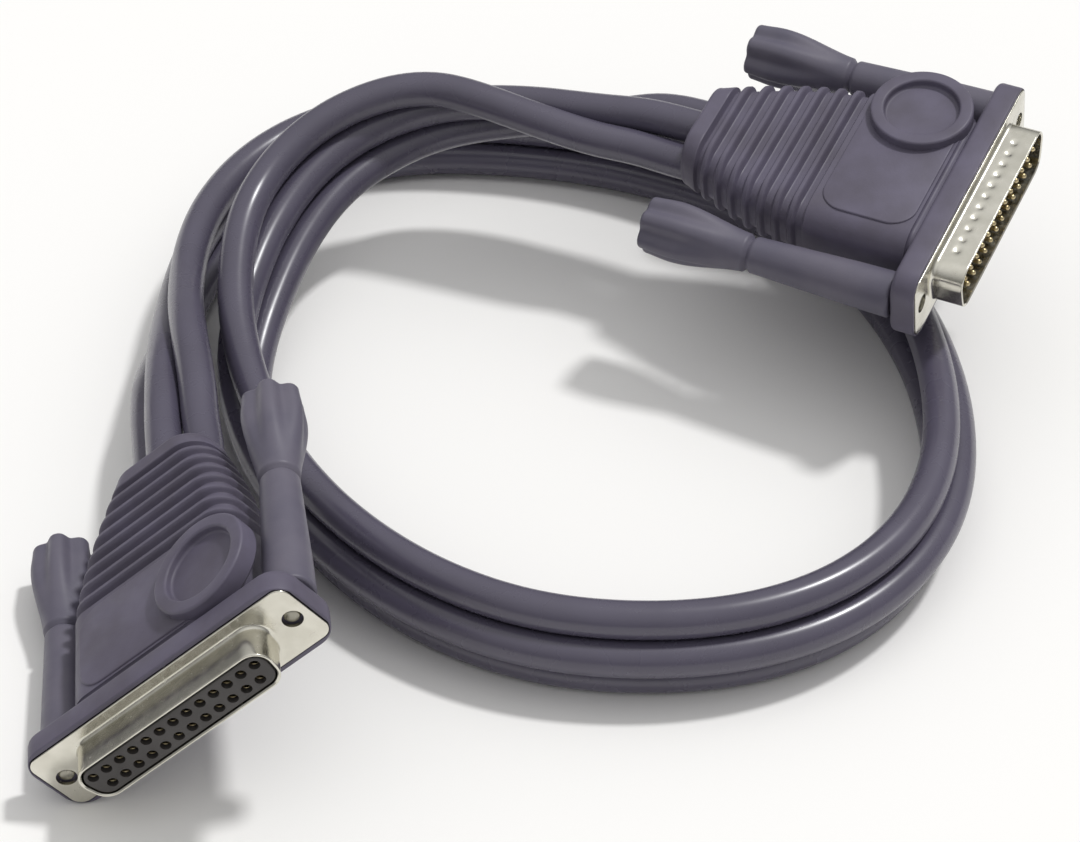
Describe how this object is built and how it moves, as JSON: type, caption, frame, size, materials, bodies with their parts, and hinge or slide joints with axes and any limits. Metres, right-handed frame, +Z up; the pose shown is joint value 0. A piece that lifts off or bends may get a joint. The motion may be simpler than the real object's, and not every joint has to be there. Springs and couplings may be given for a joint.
{
  "type": "kvm cable",
  "caption": "Short multi-cord computer cable with a moulded D-shaped plug and a matching socket, each with jackscrews, a ribbed boot and a raised disc, lying in a loose loop",
  "frame": {"origin": "Centre of the bottom of the box round the two connectors, without the cords, on the surface the cable lies on", "axes": "+Z up from the surface, +X along the longest extent of the two connectors' box, +Y away from the side that the socket faces"},
  "size_m": [0.1746, 0.1759, 0.0455],
  "materials": {
    "hood_plastic": "Moulded soft PVC in dark violet-grey, fine satin grain",
    "grip_plastic": "Moulded PVC in dark violet-grey, satin",
    "cord_jacket": "Extruded PVC jacket in dark violet-grey, smooth satin with narrow highlights",
    "nickel_plate": "Stamped steel with bright nickel plating, slightly warm",
    "zinc_steel": "Turned steel, zinc plated",
    "gold_contact": "Turned copper alloy with thin gold plating",
    "insulator_plastic": "Moulded black thermoplastic, matt"
  },
  "bodies": {
    "cable": {"male_front_shell": "nickel_plate", "male_rear_shell": "nickel_plate", "male_hood": "hood_plastic", "male_insulator": "insulator_plastic", "female_front_shell": "nickel_plate", "female_rear_shell": "nickel_plate", "female_hood": "hood_plastic", "female_insulator": "insulator_plastic", "male_pin_01": "gold_contact", "male_pin_02": "gold_contact", "male_pin_03": "gold_contact", "male_pin_04": "gold_contact", "male_pin_05": "gold_contact", "male_pin_06": "gold_contact", "male_pin_07": "gold_contact", "male_pin_08": "gold_contact", "male_pin_09": "gold_contact", "male_pin_10": "gold_contact", "male_pin_11": "gold_contact", "male_pin_12": "gold_contact", "male_pin_13": "gold_contact", "male_pin_14": "gold_contact", "male_pin_15": "gold_contact", "male_pin_16": "gold_contact", "male_pin_17": "gold_contact", "male_pin_18": "gold_contact", "male_pin_19": "gold_contact", "male_pin_20": "gold_contact", "male_pin_21": "gold_contact", "male_pin_22": "gold_contact", "male_pin_23": "gold_contact", "male_pin_24": "gold_contact", "male_pin_25": "gold_contact", "cord_upper": "cord_jacket", "cord_middle": "cord_jacket", "cord_lower": "cord_jacket"},
    "male_jackscrew_left": {"male_screw_left": "zinc_steel", "male_grip_left": "grip_plastic"},
    "male_jackscrew_right": {"male_screw_right": "zinc_steel", "male_grip_right": "grip_plastic"},
    "female_jackscrew_left": {"female_screw_left": "zinc_steel", "female_grip_left": "grip_plastic"},
    "female_jackscrew_right": {"female_screw_right": "zinc_steel", "female_grip_right": "grip_plastic"}
  },
  "joints": [
    {"name": "male_jackscrew_left_turn", "type": "hinge", "parent": "cable", "child": "male_jackscrew_left", "pos_m": [0.06318, 0.01339, 0.02851], "axis": [-0.8956, 0.4448, -0.0103], "continuous": true},
    {"name": "male_jackscrew_right_turn", "type": "hinge", "parent": "cable", "child": "male_jackscrew_right", "pos_m": [0.08368, 0.05485, 0.03709], "axis": [-0.8956, 0.4448, -0.0103], "continuous": true},
    {"name": "female_jackscrew_left_turn", "type": "hinge", "parent": "cable", "child": "female_jackscrew_left", "pos_m": [-0.07612, -0.07657, 0.00646], "axis": [-0.1229, 0.9922, -0.0204], "continuous": true},
    {"name": "female_jackscrew_right_turn", "type": "hinge", "parent": "cable", "child": "female_jackscrew_right", "pos_m": [-0.03982, -0.07147, 0.03594], "axis": [-0.1229, 0.9922, -0.0204], "continuous": true}
  ]
}
